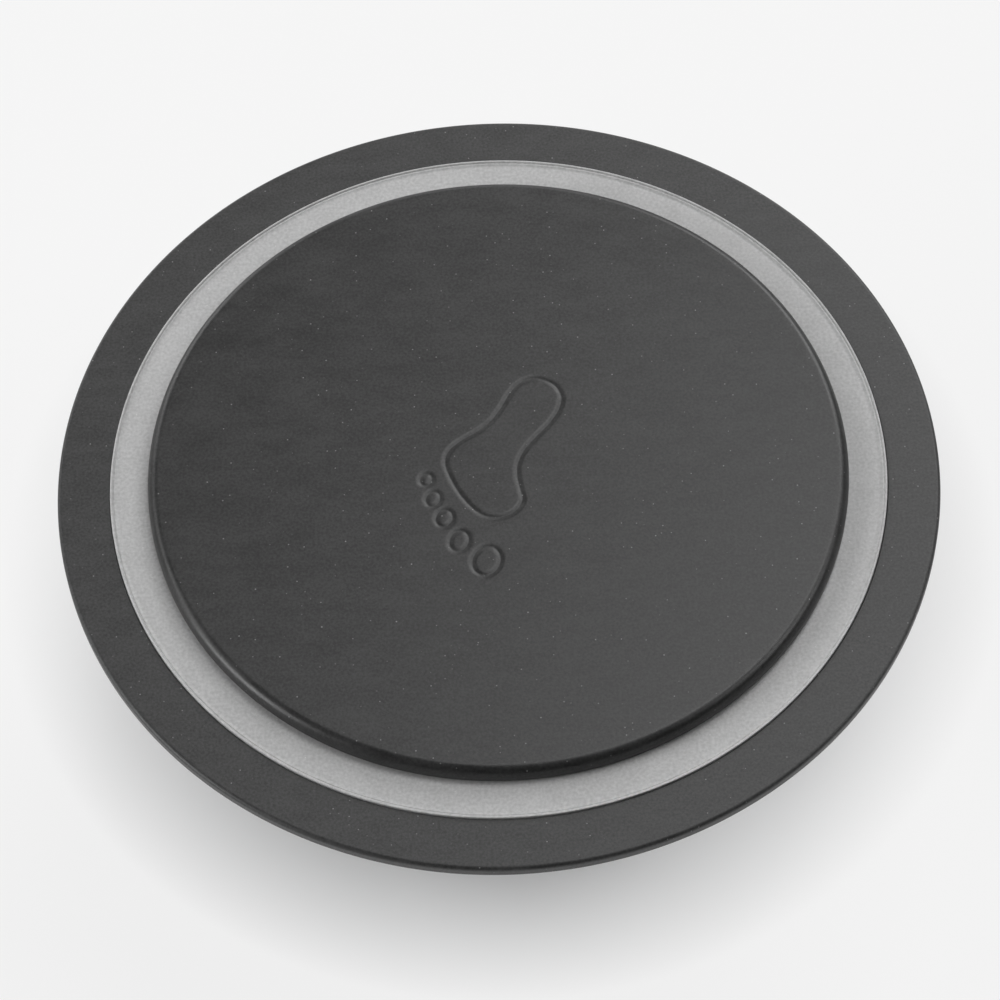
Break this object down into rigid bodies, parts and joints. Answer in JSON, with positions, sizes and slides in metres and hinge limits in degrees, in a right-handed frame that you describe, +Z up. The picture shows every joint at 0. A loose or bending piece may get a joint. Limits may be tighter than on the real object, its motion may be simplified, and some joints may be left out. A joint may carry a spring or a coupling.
{
  "type": "shower floor drain",
  "caption": "Round foot-press shower floor drain with a pop-up cover, a silicone seal, a lift-out strainer with its push-push core, and a finned tail for a 50 mm pipe.",
  "frame": {"origin": "centre of the tail's end face, on the drain's axis", "axes": "+Z up along the drain's axis, from the tail to the cover; X and Y are alike"},
  "size_m": [0.11, 0.11, 0.0523],
  "materials": {
    "flange_coating": "matte black electrophoretic coating on die-cast alloy",
    "cover_coating": "matte black electrophoretic coating on die-cast alloy",
    "silicone": "translucent grey-white moulded silicone, satin",
    "seal_rubber": "black moulded rubber, matte",
    "cup_abs": "moulded grey ABS, fine texture",
    "basket_abs": "moulded grey ABS, fine texture",
    "core_acetal": "moulded white acetal, satin",
    "stainless": "stainless steel, rolled and drawn",
    "brass": "turned brass"
  },
  "bodies": {
    "drain_body": {"flange_ring": "flange_coating", "flange_seal": "seal_rubber", "drain_cup": "cup_abs", "tail_seal": "seal_rubber"},
    "strainer_core": {"strainer_basket": "basket_abs", "basket_gasket": "seal_rubber", "core_housing": "core_acetal", "core_washer": "seal_rubber", "core_lock_nut": "core_acetal", "core_bottom_cap": "core_acetal", "core_spring": "stainless"},
    "cover": {"cover_cap": "cover_coating", "cover_carrier": "basket_abs", "cover_gasket": "silicone", "gasket_clamp_ring": "stainless", "clamp_screw_1": "stainless", "clamp_screw_2": "stainless", "clamp_screw_3": "stainless", "clamp_screw_4": "stainless", "threaded_insert": "brass", "plunger": "core_acetal", "stop_washer": "seal_rubber"},
    "cam": {"cam_rotor": "brass"}
  },
  "joints": [
    {"name": "core_lift", "type": "slide", "parent": "drain_body", "child": "strainer_core", "axis": [0, 0, 1], "range_m": [0, 0.06]},
    {"name": "cover_pop", "type": "slide", "parent": "strainer_core", "child": "cover", "axis": [0, 0, 1], "range_m": [0, 0.01], "deforming": ["core_spring"]},
    {"name": "cam_turn", "type": "hinge", "parent": "cover", "child": "cam", "pos_m": [0, 0, 0.02], "axis": [0, 0, 1], "continuous": true}
  ]
}
